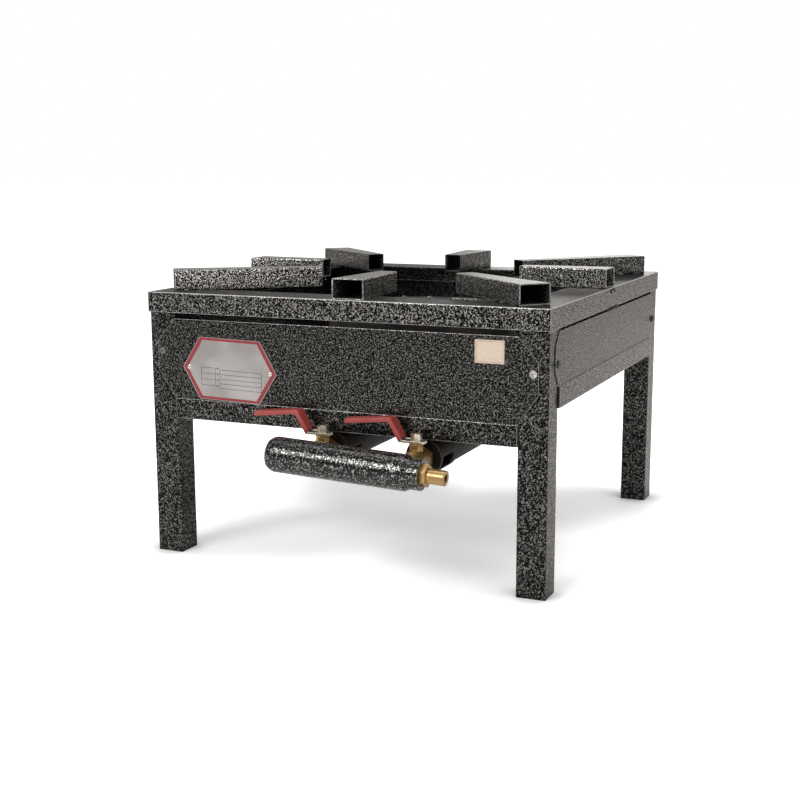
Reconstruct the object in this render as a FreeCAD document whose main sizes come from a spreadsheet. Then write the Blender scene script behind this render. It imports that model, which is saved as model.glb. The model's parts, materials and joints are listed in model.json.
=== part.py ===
import FreeCAD, Part

import math
import os
import re

import Sketcher

Vector = FreeCAD.Vector
Rotation = FreeCAD.Rotation

doc = FreeCAD.newDocument("gas_stove")

# Driving dimensions in millimetres, degrees for angles
SIZES = {
    # square top frame
    "cap_width": 500,
    "stove_height": 319,
    "cap_sheet": 1.5,
    "lip_height": 24,
    "flange_width": 50,
    # legs
    "leg_width": 34,
    "leg_wall": 2,
    "leg_corner": 1.5,
    # lower rails, folded angle section
    "rail_height": 24,
    "rail_depth": 24,
    "rail_sheet": 2,
    "rail_proud": 2,
    "front_rail_drop": 150.5,
    "side_rail_drop": 111.5,
    # side panels with tabs over the legs
    "panel_sheet": 1.2,
    "front_slot": 7,
    "front_tab_reach": 23,
    "front_tab_top_drop": 27,
    "front_tab_bottom_rise": 33,
    "side_slot": 3.5,
    "blind_slot": 0.1,
    "side_tab_reach": 13,
    "side_tab_top_drop": 15,
    "side_tab_bottom_rise": 17,
    "screw_inset": 6,
    "front_screw_lift": 5.5,
    "side_screw_drop": 6,
    "screw_head_radius": 4.5,
    "screw_head_height": 2.4,
    "screw_radius": 2,
    "screw_length": 7,
    "screw_gap": 0.2,
    "cross_width": 1.1,
    "cross_reach": 2.1,
    "cross_depth": 1.2,
    # name plate
    "plate_length": 126,
    "plate_height": 74,
    "plate_flat": 81,
    "plate_sheet": 0.8,
    "plate_inset": 110,
    "plate_drop": 88.5,
    "plate_tilt": 1.3,
    "rivet_spread": 109,
    "rivet_radius": 2.6,
    "rivet_height": 1.2,
    "rivet_dimple": 0.7,
    # tapered pot bars
    "bar_outer_width": 39,
    "bar_inner_width": 23,
    "bar_height": 23.5,
    "bar_wall": 1.2,
    "bar_corner": 1.5,
    "bar_edge_gap": 3,
    "front_bar_length": 111,
    "front_bar_x": 13,
    "back_bar_length": 103,
    "back_bar_x": -14,
    "left_bar_length": 105,
    "left_bar_y": 10,
    "right_bar_length": 112,
    "right_bar_y": 1,
    "front_left_bar_length": 180,
    "front_left_bar_side_inset": 157,
    "front_left_bar_end_inset": 146,
    "front_left_bar_angle": 36,
    "front_right_bar_length": 156,
    "front_right_bar_side_inset": 144.5,
    "front_right_bar_end_inset": 127,
    "front_right_bar_angle": 40.5,
    "back_left_bar_length": 151,
    "back_left_bar_side_inset": 131,
    "back_left_bar_end_inset": 133,
    "back_left_bar_angle": 42.5,
    "back_right_bar_length": 188,
    "back_right_bar_side_inset": 148,
    "back_right_bar_end_inset": 166,
    "back_right_bar_angle": 49.5,
    # burner bars and burners
    "burner_bar_width": 25,
    "burner_bar_wall": 2,
    "burner_bar_spread": 70,
    "burner_height": 45,
    "burner_wall": 5,
    "ring_width": 34,
    "inner_burner_radius": 46,
    "lid_height": 7,
    "lid_lip": 4,
    "inlet_radius": 10,
    "port_width": 3,
    "port_depth": 3,
    "stud_radius": 4,
    "stud_height": 6,
    # gas line
    "valve_left_x": 11,
    "valve_spacing": 115,
    "valve_reach": 15,
    "tube_radius": 20,
    "tube_wall": 2.5,
    "elbow_radius": 50,
    "bell_wall": 1.2,
    "bell_length": 52,
    "bell_disc": 4,
    "bell_overlap": 12,
    "bell_gap": 0.2,
    "weld_gap": 0.3,
    "window_width": 14,
    "window_drop": 6,
    "window_length": 33,
    "window_start": 6,
    # manifold
    "manifold_radius": 20,
    "manifold_wall": 3,
    "manifold_tilt": 2.4,
    "manifold_left": 88,
    "manifold_right": 69,
    "pipe_taper": 4,
    "pipe_step": 2,
    "cap_length": 14,
    "cap_round": 11,
    "socket_radius": 17,
    "socket_length": 14.5,
    "socket_bore": 8,
    "nipple_flats": 22,
    "nipple_hex": 6.5,
    "nipple_radius": 8.3,
    "nipple_tail": 20,
    "nipple_bore": 4.5,
    # ball valves
    "valve_radius": 13.5,
    "valve_front": 21,
    "valve_back": 12,
    "spigot_radius": 8,
    "spigot_wall": 3.5,
    "ball_radius": 10,
    "ball_bore": 6,
    "ball_gap": 0.4,
    "seat_depth": 11,
    "seat_thickness": 4.5,
    "seat_gap": 0.05,
    "end_flats": 24,
    "end_hex": 6,
    "end_tail": 1.5,
    "end_tail_radius": 10.5,
    "boss_radius": 7.5,
    "boss_height": 18,
    "gland_flats": 14,
    "gland_height": 2.4,
    "stem_radius": 5,
    "stem_gap": 0.06,
    "stem_thread": 3,
    "stem_top": 31,
    "tang_width": 4,
    "tang_height": 3,
    # injectors
    "injector_radius": 6,
    "injector_head": 8,
    "injector_shank": 9,
    "injector_body": 8,
    "injector_tip": 6,
    "injector_tip_radius": 3,
    "injector_hole": 1.2,
    # levers
    "lever_gap": 0.3,
    "lever_sheet": 2.5,
    "lever_width": 13,
    "lever_heel": 11,
    "lever_flat": 16,
    "lever_riser": 14,
    "lever_lift": 23.5,
    "lever_reach": 84,
    "lever_droop": 6,
    "grip_skin": 1.5,
    "grip_bend": 6,
    "grip_tip": 4,
    "nut_flats": 11.5,
    "nut_height": 7.5,
    # shared working values
    "overrun": 2,
}

sheet = doc.addObject("Spreadsheet::Sheet", "Sizes")
for row, (alias, value) in enumerate(SIZES.items(), start=1):
    sheet.set(f"A{row}", alias)
    sheet.set(f"B{row}", str(value))
    sheet.setAlias(f"B{row}", alias)
doc.recompute()

ALIAS = re.compile(r"\b(" + "|".join(SIZES) + r")\b")

# Derived places, written once as formulas of the sheet
HALF = "(cap_width / 2)"
LEG_FACE = "(cap_width / 2 - cap_sheet)"
LEG_INNER = "(cap_width / 2 - cap_sheet - leg_width)"
RAIL_BOTTOM = {
    "front": "(stove_height - front_rail_drop)",
    "side": "(stove_height - side_rail_drop)",
}
MANIFOLD_Y = "(-cap_width / 2 - valve_reach - valve_front - spigot_wall - manifold_radius)"
FRONT_REACH = "(cap_width / 2 + valve_reach + valve_front + spigot_wall + 2 * manifold_radius)"
BACK_REACH = "(cap_width / 2 - cap_sheet + panel_sheet + screw_head_height)"
SHIFT = f"(({FRONT_REACH} - {BACK_REACH}) / 2)"
STEM_Y = "(-cap_width / 2 - valve_reach)"
BELL_RADIUS = "(tube_radius + bell_gap + bell_wall)"
GAS_Z = f"({RAIL_BOTTOM['front']} - weld_gap - tube_radius - bell_gap - bell_wall)"
BELL_Y = "(-cap_width / 2 - valve_reach + valve_back + end_hex + end_tail)"
BURNER_Z = f"({RAIL_BOTTOM['side']} + rail_sheet + burner_bar_width)"
BURNER_TOP = f"({BURNER_Z} + burner_height)"
VALVE_RIGHT_X = "(valve_spacing - valve_left_x)"
VALVE_SPAN = "(valve_spacing / 2)"
VALVE_MIDDLE = "(valve_spacing / 2 - valve_left_x)"
LIP_BOTTOM = "(stove_height - lip_height)"
LEVER_Z = "(boss_height + gland_height + lever_gap)"
SCREW_LIFTS = {"front": "front_screw_lift", "side": "-side_screw_drop"}

# Shapes of small rounded heads and folds, as shares of the sizes that carry them
FOLD_SHARE = 0.9
SCREW_FLAT_SHARE = 0.6
SCREW_RIM_SHARE = 0.45
RIVET_FLAT_SHARE = 0.55
RIVET_RIM_SHARE = 0.4
RIVET_EYE_SHARE = 0.35
VALVE_NOSE_SHARE = 0.85
HEEL_ROUND_SHARE = 0.3
GRIP_ROUND_SHARE = 0.8
GRIP_FOOT_SHARE = 0.06
PORT_COUNT = 36

LABELS = {}


def bound(formula):
    """A formula of sheet aliases as an expression on the sheet."""
    return ALIAS.sub(r"Sizes.\1", str(formula))


def bind(obj, prop, formula):
    obj.setExpression(prop, bound(formula))


def place(obj, at, turn=0, axis=Vector(0, 0, 1)):
    obj.Placement = FreeCAD.Placement(Vector(), Rotation(axis, turn))
    for letter, formula in zip("xyz", at):
        bind(obj, f"Placement.Base.{letter}", formula)


def in_stove(x, y, z):
    """A place given from the middle of the square frame, moved to the part's own origin."""
    return (x, f"{y} + {SHIFT}", z)


def keep(obj, label):
    """Give a finished sub-part its node name."""
    obj.Label = label
    LABELS[label] = obj
    return obj


def origin_plane(body, role):
    return next(item for item in body.Origin.OriginFeatures if item.Role == role)


def pin_point(sketch, geometry, end, x, y):
    """Tie one point of a sketch to its two formulas."""
    for kind, formula, axis in (("DistanceX", x, -2), ("DistanceY", y, -1)):
        if str(formula) == "0":
            sketch.addConstraint(Sketcher.Constraint("PointOnObject", geometry, end, axis))
            continue
        index = sketch.addConstraint(Sketcher.Constraint(kind, -1, 1, geometry, end, 1.0))
        sketch.setExpression(f"Constraints[{index}]", bound(formula))


def sketch_on(body, plane, offset):
    sketch = body.newObject("Sketcher::SketchObject", "Sketch")
    sketch.AttachmentSupport = (origin_plane(body, plane), [""])
    sketch.MapMode = "FlatFace"
    bind(sketch, "AttachmentOffset.Base.z", offset)
    return sketch


def add_outline(sketch, points):
    """A closed outline of straight lines through points given as formulas."""
    count = len(points)
    first = sketch.GeometryCount
    start = [
        Vector(math.cos(math.tau * step / count), math.sin(math.tau * step / count), 0)
        for step in range(count)
    ]
    for step in range(count):
        sketch.addGeometry(Part.LineSegment(start[step], start[(step + 1) % count]), False)
    for step in range(count):
        following = first + (step + 1) % count
        sketch.addConstraint(Sketcher.Constraint("Coincident", first + step, 2, following, 1))
    for step, (x, y) in enumerate(points):
        pin_point(sketch, first + step, 1, x, y)


def add_circle(sketch, x, y, radius):
    index = sketch.GeometryCount
    sketch.addGeometry(Part.Circle(Vector(), Vector(0, 0, 1), 1.0), False)
    pin_point(sketch, index, 3, x, y)
    number = sketch.addConstraint(Sketcher.Constraint("Radius", index, 1.0))
    sketch.setExpression(f"Constraints[{number}]", bound(radius))


def new_body(name):
    return doc.addObject("PartDesign::Body", name)


def pad(body, plane, points, length, offset="0", holes=(), circles=(), reverse=False):
    """Pad an outline along its plane's normal, with round holes left open."""
    sketch = sketch_on(body, plane, offset)
    if points:
        add_outline(sketch, points)
    for x, y, radius in list(circles) + list(holes):
        add_circle(sketch, x, y, radius)
    feature = body.newObject("PartDesign::Pad", "Pad")
    feature.Profile = sketch
    feature.Reversed = reverse
    bind(feature, "Length", length)
    sketch.Visibility = False
    return feature


def pocket(body, plane, length, offset="0", points=(), circles=(), reverse=False):
    """Cut an outline or circles out of a body."""
    doc.recompute()
    before = body.Shape.Volume
    sketch = sketch_on(body, plane, offset)
    if points:
        add_outline(sketch, points)
    for x, y, radius in circles:
        add_circle(sketch, x, y, radius)
    feature = body.newObject("PartDesign::Pocket", "Pocket")
    feature.Profile = sketch
    feature.Reversed = reverse
    bind(feature, "Length", length)
    doc.recompute()
    if not body.Shape.Volume < before:
        raise RuntimeError(f"a pocket in {body.Name} cuts nothing")
    return feature


def turned(body, plane, points, axis):
    """Revolve an outline about one axis of its sketch."""
    sketch = sketch_on(body, plane, "0")
    add_outline(sketch, points)
    feature = body.newObject("PartDesign::Revolution", "Revolution")
    feature.Profile = sketch
    feature.ReferenceAxis = (sketch, [axis])
    feature.Angle = 360
    return feature


def groove(body, plane, points, axis):
    """Cut a turned outline out of a body."""
    doc.recompute()
    before = body.Shape.Volume
    sketch = sketch_on(body, plane, "0")
    add_outline(sketch, points)
    feature = body.newObject("PartDesign::Groove", "Groove")
    feature.Profile = sketch
    feature.ReferenceAxis = (sketch, [axis])
    feature.Angle = 360
    doc.recompute()
    if not body.Shape.Volume < before:
        raise RuntimeError(f"a groove in {body.Name} cuts nothing")
    return feature


def round_edges(body, chosen, radius):
    """Fillet the edges of a body that a test picks."""
    doc.recompute()
    base = body.Tip
    names = [f"Edge{number}" for number, edge in enumerate(base.Shape.Edges, start=1) if chosen(edge)]
    if not names:
        raise RuntimeError(f"no edge to round in {body.Name}")
    feature = body.newObject("PartDesign::Fillet", "Fillet")
    feature.Base = (base, names)
    bind(feature, "Radius", radius)
    return feature


def is_line_along(edge, direction):
    if edge.Curve.TypeId != "Part::GeomLine":
        return False
    return abs(edge.Curve.Direction.dot(direction)) > math.cos(math.radians(1))


def solid_box(name, length, width, height, at):
    box = doc.addObject("Part::Box", name)
    bind(box, "Length", length)
    bind(box, "Width", width)
    bind(box, "Height", height)
    place(box, at)
    return box


def solid_cylinder(name, radius, height, at, turn=0, axis=Vector(0, 0, 1)):
    cylinder = doc.addObject("Part::Cylinder", name)
    bind(cylinder, "Radius", radius)
    bind(cylinder, "Height", height)
    place(cylinder, at, turn, axis)
    return cylinder


def solid_cut(name, base, tool):
    cut = doc.addObject("Part::Cut", name)
    cut.Base = base
    cut.Tool = tool
    return cut


def solid_fuse(name, shapes):
    fuse = doc.addObject("Part::MultiFuse", name)
    fuse.Shapes = shapes
    fuse.Refine = True
    return fuse


def group(name, members):
    """Several equal separate solids that share one node."""
    compound = doc.addObject("Part::Compound", name)
    compound.Links = members
    return keep(compound, name)


def hexagon(flats):
    """Six corners of a hexagon with two of its flats upright."""
    half = f"({flats} / 2)"
    side = f"({flats} / 2 * tan(30 deg))"
    tip = f"({flats} / 2 / cos(30 deg))"
    return [
        (half, f"-{side}"),
        (half, side),
        ("0", tip),
        (f"-{half}", side),
        (f"-{half}", f"-{side}"),
        ("0", f"-{tip}"),
    ]


SIDES = {"front": 0, "right": 90, "back": 180, "left": 270}
CORNERS = (("front_left", -1, -1), ("front_right", 1, -1), ("back_left", -1, 1), ("back_right", 1, 1))
SLOTS = {"front": "front_slot", "right": "side_slot", "back": "blind_slot", "left": "blind_slot"}
CENTRE = in_stove("0", "0", "0")


# Top frame: four mitred angles, a flat flange and a lip that hangs over the legs
def make_top_rail(side, turn):
    body = new_body(f"top_rail_{side}")
    inner = "(cap_width / 2 - flange_width)"
    face = LEG_FACE
    edge_line = [(f"-{HALF}", f"-{HALF}"), (HALF, f"-{HALF}")]
    flange = edge_line + [(inner, f"-{inner}"), (f"-{inner}", f"-{inner}")]
    lip = edge_line + [(face, f"-{face}"), (f"-{face}", f"-{face}")]
    pad(body, "XY_Plane", flange, "cap_sheet", "stove_height", reverse=True)
    pad(body, "XY_Plane", lip, "lip_height", "stove_height", reverse=True)
    round_edges(
        body,
        lambda edge: is_line_along(edge, Vector(1, 0, 0))
        and edge.BoundBox.ZMin > SIZES["stove_height"] - SIZES["cap_sheet"] / 2
        and edge.BoundBox.YMin < -SIZES["cap_width"] / 2 + SIZES["cap_sheet"] / 2,
        f"cap_sheet * {FOLD_SHARE}",
    )
    place(body, CENTRE, turn)
    keep(body, f"top_rail_{side}")


# Legs: square tubes that stand on the floor and carry the top frame
def make_leg(name, x_sign, y_sign):
    body = new_body(f"leg_{name}")
    half = "(leg_width / 2)"
    bore = "(leg_width / 2 - leg_wall)"
    outer = [(f"-{half}", f"-{half}"), (half, f"-{half}"), (half, half), (f"-{half}", half)]
    inner = [(f"-{bore}", f"-{bore}"), (bore, f"-{bore}"), (bore, bore), (f"-{bore}", bore)]
    sketch_height = "stove_height - cap_sheet"
    pad(body, "XY_Plane", outer, sketch_height)
    round_edges(body, lambda edge: is_line_along(edge, Vector(0, 0, 1)), "leg_corner")
    pocket(body, "XY_Plane", f"{sketch_height} + 2 * overrun", "-overrun", inner, reverse=True)
    hole = "(screw_radius + screw_gap)"
    for face in ("front", "side"):
        screw = screw_spot("front" if face == "front" and y_sign < 0 else "side")
        along = f"({screw[0]} - {LEG_FACE} + leg_width / 2)"
        if face == "front":
            spot = (f"{x_sign} * {along}", screw[1], hole)
            pocket(body, "XZ_Plane", half, f"{-y_sign} * {half}", circles=[spot], reverse=y_sign > 0)
        else:
            spot = (f"{y_sign} * {along}", screw[1], hole)
            pocket(body, "YZ_Plane", half, f"{x_sign} * {half}", circles=[spot], reverse=x_sign < 0)
    middle = f"({LEG_FACE} - leg_width / 2)"
    place(body, in_stove(f"{x_sign} * {middle}", f"{y_sign} * {middle}", "0"))
    keep(body, f"leg_{name}")


def screw_spot(kind):
    """Distance of a tab's screw from the panel's middle, and its height."""
    bottom = f"({RAIL_BOTTOM[kind]} + rail_height)"
    top = f"({LIP_BOTTOM} - {kind}_slot)"
    along = f"({LEG_INNER} + {kind}_tab_reach - screw_inset)"
    middle = f"({bottom} + {kind}_tab_bottom_rise + {top} - {kind}_tab_top_drop) / 2"
    return along, f"({middle} + {SCREW_LIFTS[kind]})"


# Lower rails: folded angles between the legs
def make_lower_rail(side, turn, kind):
    body = new_body(f"lower_rail_{side}")
    face = f"(-{LEG_FACE} - rail_proud)"
    low = RAIL_BOTTOM[kind]
    outline = [
        (face, low),
        (f"{face} + rail_depth", low),
        (f"{face} + rail_depth", f"{low} + rail_sheet"),
        (f"{face} + rail_sheet", f"{low} + rail_sheet"),
        (f"{face} + rail_sheet", f"{low} + rail_height"),
        (face, f"{low} + rail_height"),
    ]
    pad(body, "YZ_Plane", outline, f"2 * {LEG_INNER}", f"-{LEG_INNER}")
    place(body, CENTRE, turn)
    keep(body, f"lower_rail_{side}")


# Panels: flat sheets whose chamfered tabs are screwed to the faces of the legs
def make_panel(side, turn, kind):
    body = new_body(f"panel_{side}")
    bottom = f"({RAIL_BOTTOM[kind]} + rail_height)"
    top = f"({LIP_BOTTOM} - {SLOTS[side]})"
    tab = f"({LEG_INNER} + {kind}_tab_reach)"
    right = [
        (LEG_INNER, bottom),
        (tab, f"{bottom} + {kind}_tab_bottom_rise"),
        (tab, f"{top} - {kind}_tab_top_drop"),
        (LEG_INNER, top),
    ]
    left = [(f"-{x}", z) for x, z in reversed(right)]
    along, height = screw_spot(kind)
    holes = [(sign + along, height, "screw_radius + screw_gap") for sign in ("", "-")]
    pad(body, "XZ_Plane", right + left, "panel_sheet", LEG_FACE, holes)
    place(body, CENTRE, turn)
    keep(body, f"panel_{side}")


def cross():
    """Twelve corners of the cross recess in a screw head."""
    half = "(cross_width / 2)"
    arm = [("cross_reach", f"-{half}"), ("cross_reach", half), (half, half)]
    points = []
    for quarter in range(4):
        points += arm
        arm = [(f"-({z})", x) for x, z in arm]
    return points


def make_screw(number, turn, kind, sign):
    body = new_body(f"panel_screw_{number}")
    face = f"(-{LEG_FACE} - panel_sheet)"
    outline = [
        (f"{face} - screw_head_height", "0"),
        (f"{face} - screw_head_height", f"screw_head_radius * {SCREW_FLAT_SHARE}"),
        (f"{face} - screw_head_height * {SCREW_RIM_SHARE}", "screw_head_radius"),
        (face, "screw_head_radius"),
        (face, "screw_radius"),
        (f"{face} + screw_length", "screw_radius"),
        (f"{face} + screw_length", "0"),
    ]
    turned(body, "YZ_Plane", outline, "H_Axis")
    outer = f"({LEG_FACE} + panel_sheet + screw_head_height)"
    pocket(body, "XZ_Plane", "cross_depth", outer, cross())
    along, height = screw_spot(kind)
    spin = math.radians(turn)
    cosine = round(math.cos(spin))
    sine = round(math.sin(spin))
    place(body, in_stove(f"{sign * cosine} * {along}", f"{sign * sine} * {along}", height), turn)
    return body


def make_frame():
    for side, turn in SIDES.items():
        kind = "front" if side == "front" else "side"
        make_top_rail(side, turn)
        make_lower_rail(side, turn, kind)
        make_panel(side, turn, kind)
    for name, x_sign, y_sign in CORNERS:
        make_leg(name, x_sign, y_sign)
    screws = []
    for side, turn in SIDES.items():
        kind = "front" if side == "front" else "side"
        for sign in (-1, 1):
            screws.append(make_screw(len(screws) + 1, turn, kind, sign))
    group("panel_screws", screws)


# Name plate: a bare six-sided sheet held on the front panel by two rivets
def make_name_plate():
    body = new_body("name_plate")
    half = "(plate_length / 2)"
    flat = "(plate_flat / 2)"
    tall = "(plate_height / 2)"
    outline = [
        (f"-{half}", "0"),
        (f"-{flat}", f"-{tall}"),
        (flat, f"-{tall}"),
        (half, "0"),
        (flat, tall),
        (f"-{flat}", tall),
    ]
    pad(body, "XZ_Plane", outline, "plate_sheet")
    face = f"-{LEG_FACE} - panel_sheet"
    middle = f"(plate_inset - {HALF})"
    height = "(stove_height - plate_drop)"
    place(body, in_stove(middle, face, height), SIZES["plate_tilt"], Vector(0, 1, 0))
    keep(body, "name_plate")
    rivets = []
    for number, sign in enumerate((-1, 1), start=1):
        rivet = new_body(f"rivet_{number}")
        outline = [
            ("rivet_dimple - rivet_height", "0"),
            ("rivet_dimple - rivet_height", f"rivet_radius * {RIVET_EYE_SHARE}"),
            ("-rivet_height", f"rivet_radius * {RIVET_EYE_SHARE}"),
            ("-rivet_height", f"rivet_radius * {RIVET_FLAT_SHARE}"),
            (f"-rivet_height * {RIVET_RIM_SHARE}", "rivet_radius"),
            ("0", "rivet_radius"),
            ("0", "0"),
        ]
        turned(rivet, "YZ_Plane", outline, "H_Axis")
        x = f"{middle} + {sign} * rivet_spread / 2 * cos(plate_tilt)"
        z = f"{height} - {sign} * rivet_spread / 2 * sin(plate_tilt)"
        place(rivet, in_stove(x, f"{face} - plate_sheet", z))
        rivets.append(rivet)
    group("name_plate_rivets", rivets)


# Pot bars: tapered tubes welded on the top frame, wide and open at the outer end
def make_pot_bar(name, x, y, turn):
    body = new_body(f"pot_bar_{name}")
    length = f"{name}_bar_length"
    wide = "(bar_outer_width / 2)"
    slim = "(bar_inner_width / 2)"
    outline = [("0", f"-{slim}"), (length, f"-{wide}"), (length, wide), ("0", slim)]
    pad(body, "XY_Plane", outline, "bar_height")
    round_edges(
        body,
        lambda edge: edge.BoundBox.XLength > SIZES["bar_outer_width"],
        "bar_corner",
    )
    bore_slim = f"({slim} - bar_wall)"
    bore_wide = f"({wide} - bar_wall)"
    bore = [
        ("-overrun", f"-{bore_slim}"),
        (f"{length} + overrun", f"-{bore_wide}"),
        (f"{length} + overrun", bore_wide),
        ("-overrun", bore_slim),
    ]
    pocket(body, "XY_Plane", "bar_height - 2 * bar_wall", "bar_wall", bore, reverse=True)
    place(body, in_stove(x, y, "stove_height"), turn)
    keep(body, f"pot_bar_{name}")


def make_pot_bars():
    start = {side: f"({HALF} - bar_edge_gap - {side}_bar_length)" for side in SIDES}
    make_pot_bar("front", "front_bar_x", f"-{start['front']}", 270)
    make_pot_bar("back", "back_bar_x", start["back"], 90)
    make_pot_bar("left", f"-{start['left']}", "left_bar_y", 180)
    make_pot_bar("right", start["right"], "right_bar_y", 0)
    for name, x_sign, y_sign in CORNERS:
        angle = y_sign * SIZES[f"{name}_bar_angle"]
        turn = angle if x_sign > 0 else 180 - angle
        x = f"{x_sign} * ({HALF} - {name}_bar_side_inset)"
        y = f"{y_sign} * ({HALF} - {name}_bar_end_inset)"
        make_pot_bar(name, x, y, turn)


# Burners: a small cup and a ring round it, on two bars between the side rails
def make_burner_bar(name, sign):
    half = f"({LEG_FACE} + rail_proud - rail_sheet)"
    y = f"{sign} * burner_bar_spread / 2 - burner_bar_width / 2"
    z = f"{RAIL_BOTTOM['side']} + rail_sheet"
    outer = solid_box(
        f"burner_bar_{name}_outer",
        f"2 * {half}",
        "burner_bar_width",
        "burner_bar_width",
        in_stove(f"-{half}", y, z),
    )
    inner = solid_box(
        f"burner_bar_{name}_bore",
        f"2 * {half} + 2 * overrun",
        "burner_bar_width - 2 * burner_bar_wall",
        "burner_bar_width - 2 * burner_bar_wall",
        in_stove(f"-{half} - overrun", f"{y} + burner_bar_wall", f"{z} + burner_bar_wall"),
    )
    keep(solid_cut(f"burner_bar_{name}", outer, inner), f"burner_bar_{name}")


def make_ring_burner():
    body = new_body("outer_burner")
    inside = f"({VALVE_RIGHT_X} - ring_width / 2)"
    outside = f"({VALVE_RIGHT_X} + ring_width / 2)"
    trough = [
        (inside, "0"),
        (outside, "0"),
        (outside, "burner_height"),
        (f"{outside} - burner_wall", "burner_height"),
        (f"{outside} - burner_wall", "burner_wall"),
        (f"{inside} + burner_wall", "burner_wall"),
        (f"{inside} + burner_wall", "burner_height"),
        (inside, "burner_height"),
    ]
    turned(body, "YZ_Plane", trough, "V_Axis")
    inlet = (VALVE_RIGHT_X, "0", "inlet_radius")
    pocket(body, "XY_Plane", "burner_wall + overrun", "-overrun", circles=[inlet], reverse=True)
    place(body, in_stove("0", "0", BURNER_Z))
    keep(body, "outer_burner")

    lid = new_body("outer_burner_lid")
    plate = [
        (inside, "0"),
        (outside, "0"),
        (outside, "lid_height - lid_lip"),
        (f"{outside} - lid_lip", "lid_height"),
        (f"{inside} + lid_lip", "lid_height"),
        (inside, "lid_height - lid_lip"),
    ]
    turned(lid, "XZ_Plane", plate, "V_Axis")
    cut_ports(lid, outside)
    place(lid, in_stove("0", "0", BURNER_TOP))
    keep(lid, "outer_burner_lid")


def cut_ports(lid, outside):
    """Radial flame slots round the underside of a lid."""
    half = "(port_width / 2)"
    slot = [
        (f"{outside} - lid_lip", f"-{half}"),
        (f"{outside} + overrun", f"-{half}"),
        (f"{outside} + overrun", half),
        (f"{outside} - lid_lip", half),
    ]
    feature = pocket(lid, "XY_Plane", "port_depth + overrun", "-overrun", slot, reverse=True)
    pattern = lid.newObject("PartDesign::PolarPattern", "Ports")
    pattern.Originals = [feature]
    pattern.Axis = (feature.Profile[0], ["N_Axis"])
    pattern.Angle = 360
    pattern.Occurrences = PORT_COUNT
    lid.Tip = pattern


def make_inner_burner():
    body = new_body("inner_burner")
    outside = "inner_burner_radius"
    cup = [
        ("0", "0"),
        (outside, "0"),
        (outside, "burner_height"),
        (f"{outside} - burner_wall", "burner_height"),
        (f"{outside} - burner_wall", "burner_wall"),
        ("0", "burner_wall"),
    ]
    turned(body, "XZ_Plane", cup, "V_Axis")
    inlet = ("-valve_left_x", "0", "inlet_radius")
    pocket(body, "XY_Plane", "burner_wall + overrun", "-overrun", circles=[inlet], reverse=True)
    place(body, in_stove("0", "0", BURNER_Z))
    keep(body, "inner_burner")

    lid = new_body("inner_burner_cap")
    plate = [
        ("0", "0"),
        (outside, "0"),
        (outside, "lid_height - lid_lip"),
        (f"{outside} - lid_lip", "lid_height"),
        ("stud_radius", "lid_height"),
        ("stud_radius", "lid_height + stud_height"),
        ("0", "lid_height + stud_height"),
    ]
    turned(lid, "XZ_Plane", plate, "V_Axis")
    cut_ports(lid, outside)
    place(lid, in_stove("0", "0", BURNER_TOP))
    keep(lid, "inner_burner_cap")


# Mixing tubes: back from the valves under the front rail, then up into a burner
def make_tube_run(name, x, radius, overrun):
    along_y = Vector(1, 0, 0)
    front = f"({BELL_Y} + bell_length - bell_overlap - {overrun})"
    level = solid_cylinder(
        f"{name}_level", radius, f"-elbow_radius - {front}", in_stove(x, front, GAS_Z), -90, along_y
    )
    bend = doc.addObject("Part::Torus", f"{name}_bend")
    bind(bend, "Radius1", "elbow_radius")
    bind(bend, "Radius2", radius)
    bend.Angle3 = 90
    place(bend, in_stove(x, "-elbow_radius", f"{GAS_Z} + elbow_radius"), 90, Vector(0, 1, 0))
    rise_start = f"({GAS_Z} + elbow_radius)"
    rise = solid_cylinder(
        f"{name}_rise", radius, f"{BURNER_Z} - {rise_start} + {overrun}", in_stove(x, "0", rise_start)
    )
    return solid_fuse(f"{name}_run", [level, bend, rise])


def make_mixing_tube(side, x):
    outer = make_tube_run(f"tube_{side}_outer", x, "tube_radius", "0")
    inner = make_tube_run(f"tube_{side}_bore", x, "(tube_radius - tube_wall)", "overrun")
    keep(solid_cut(f"mixing_tube_{side}", outer, inner), f"mixing_tube_{side}")


# Air bells: cups with air windows that carry the front ends of the mixing tubes
def make_air_bell(side, x):
    body = new_body(f"air_bell_{side}_cup")
    bore = "(tube_radius + bell_gap)"
    outline = [
        ("0", "injector_radius + bell_gap"),
        ("0", BELL_RADIUS),
        ("bell_length", BELL_RADIUS),
        ("bell_length", bore),
        ("bell_disc", bore),
        ("bell_disc", "injector_radius + bell_gap"),
    ]
    turned(body, "YZ_Plane", outline, "H_Axis")
    place(body, in_stove(x, BELL_Y, GAS_Z))
    reach = f"({BELL_RADIUS} + overrun)"
    across = solid_box(
        f"air_bell_{side}_across",
        f"2 * {reach}",
        "window_length",
        "window_width",
        in_stove(f"{x} - {reach}", f"{BELL_Y} + window_start", f"{GAS_Z} - window_width / 2 - window_drop"),
    )
    upright = solid_box(
        f"air_bell_{side}_upright",
        "window_width",
        "window_length",
        f"2 * {reach}",
        in_stove(f"{x} - window_width / 2", f"{BELL_Y} + window_start", f"{GAS_Z} - {reach}"),
    )
    windows = solid_fuse(f"air_bell_{side}_windows", [across, upright])
    keep(solid_cut(f"air_bell_{side}", body, windows), f"air_bell_{side}")


# Injectors: drilled jets that screw through the bells into the valves
def make_injector(side, x):
    body = new_body(f"injector_{side}")
    outline = [
        ("-injector_shank + bell_disc", "injector_hole"),
        ("-injector_shank + bell_disc", "injector_radius"),
        ("bell_disc", "injector_radius"),
        ("bell_disc", "injector_head"),
        ("bell_disc + injector_body", "injector_head"),
        ("bell_disc + injector_body + injector_tip", "injector_tip_radius"),
        ("bell_disc + injector_body + injector_tip", "injector_hole"),
    ]
    turned(body, "YZ_Plane", outline, "H_Axis")
    place(body, in_stove(x, BELL_Y, GAS_Z))
    return body


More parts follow.
